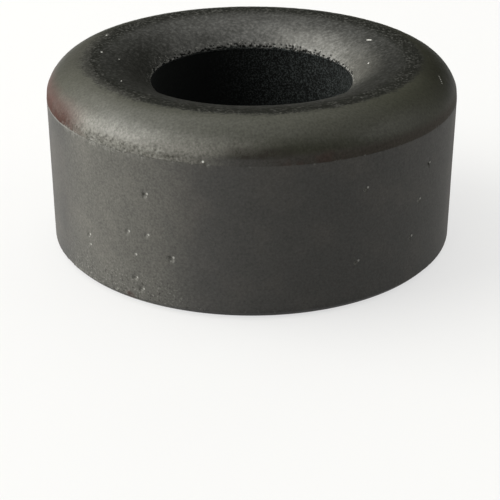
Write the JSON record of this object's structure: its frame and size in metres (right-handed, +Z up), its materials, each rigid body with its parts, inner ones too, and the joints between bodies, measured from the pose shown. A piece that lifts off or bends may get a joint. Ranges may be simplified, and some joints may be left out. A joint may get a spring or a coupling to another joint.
{
  "type": "ferrite ring core",
  "caption": "Plain dark grey ferrite ring core with a straight outer wall, a crowned upper end, a flat lower end and a straight bore that a cable or winding passes through to quiet noise.",
  "frame": {"origin": "on the ring's axis, at the level of the surface that its flat lower end lies on", "axes": "+Z up along the ring's axis, which is the bore's axis; X and Y are any two directions across it"},
  "size_m": [0.0285, 0.0284, 0.013],
  "materials": {
    "sintered_ferrite": "satin"
  },
  "bodies": {
    "root": {"ferrite_ring_core": "sintered_ferrite"}
  },
  "joints": []
}
